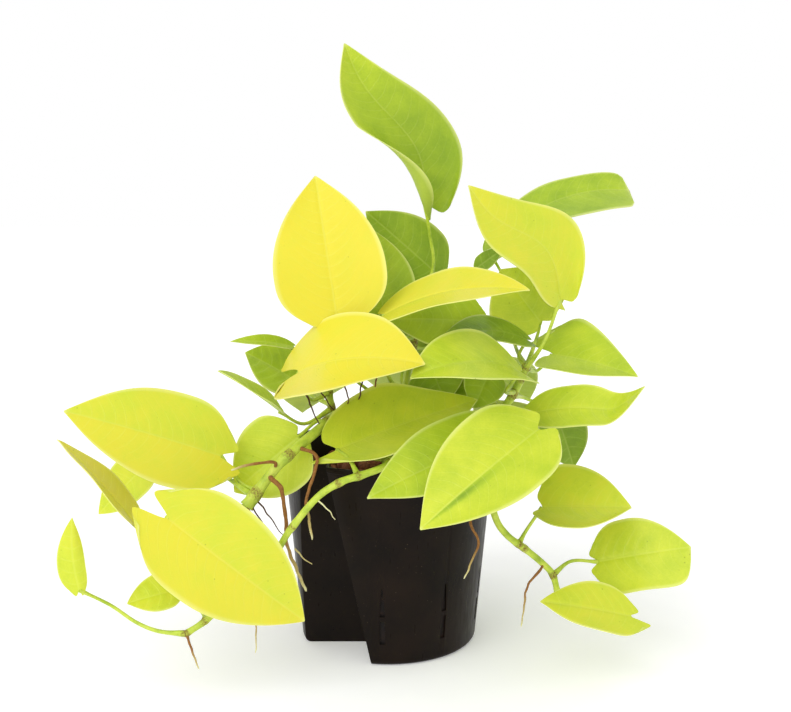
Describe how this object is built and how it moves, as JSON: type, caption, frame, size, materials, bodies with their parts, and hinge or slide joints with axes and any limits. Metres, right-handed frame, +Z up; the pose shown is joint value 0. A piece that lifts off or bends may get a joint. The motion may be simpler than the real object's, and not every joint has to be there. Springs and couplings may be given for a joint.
{
  "type": "potted pothos plant",
  "caption": "Neon pothos with broad heart-shaped leaves on trailing vines, in a black culture pot with a channel for a water gauge.",
  "frame": {"origin": "centre of the pot's flat base, at the surface it stands on", "axes": "+Z up along the pot's axis, -Y towards the side with the fullest leaves, +X to that side's right"},
  "size_m": [0.3593, 0.2432, 0.3583],
  "materials": {
    "pot_plastic": "satin",
    "expanded_clay": "rough",
    "leaf": "waxy satin",
    "stem": "satin",
    "aerial_root": "matte"
  },
  "bodies": {
    "root": {"culture_pot": "pot_plastic", "clay_granules": "expanded_clay", "leaf_01": "leaf", "leaf_02": "leaf", "leaf_03": "leaf", "leaf_04": "leaf", "leaf_05": "leaf", "leaf_06": "leaf", "leaf_07": "leaf", "leaf_08": "leaf", "leaf_09": "leaf", "leaf_10": "leaf", "leaf_11": "leaf", "leaf_12": "leaf", "leaf_13": "leaf", "leaf_14": "leaf", "leaf_15": "leaf", "leaf_16": "leaf", "leaf_17": "leaf", "leaf_18": "leaf", "leaf_19": "leaf", "leaf_20": "leaf", "leaf_21": "leaf", "leaf_22": "leaf", "leaf_23": "leaf", "leaf_24": "leaf", "leaf_25": "leaf", "leaf_26": "leaf", "leaf_27": "leaf", "leaf_28": "leaf", "leaf_29": "leaf", "leaf_30": "leaf", "leaf_31": "leaf", "leaf_32": "leaf", "leaf_33": "leaf", "leaf_34": "leaf", "leaf_35": "leaf", "leaf_36": "leaf", "leaf_37": "leaf", "leaf_38": "leaf", "leaf_39": "leaf", "leaf_40": "leaf", "leaf_41": "leaf", "leaf_42": "leaf", "vine_left": "stem", "vine_front_left": "stem", "vine_right": "stem", "vine_crown_left": "stem", "vine_crown_centre": "stem", "vine_crown_right": "stem", "vine_back": "stem", "aerial_root_01": "aerial_root", "aerial_root_02": "aerial_root", "aerial_root_03": "aerial_root", "aerial_root_04": "aerial_root", "aerial_root_05": "aerial_root", "aerial_root_06": "aerial_root", "aerial_root_07": "aerial_root", "aerial_root_08": "aerial_root"}
  },
  "joints": []
}
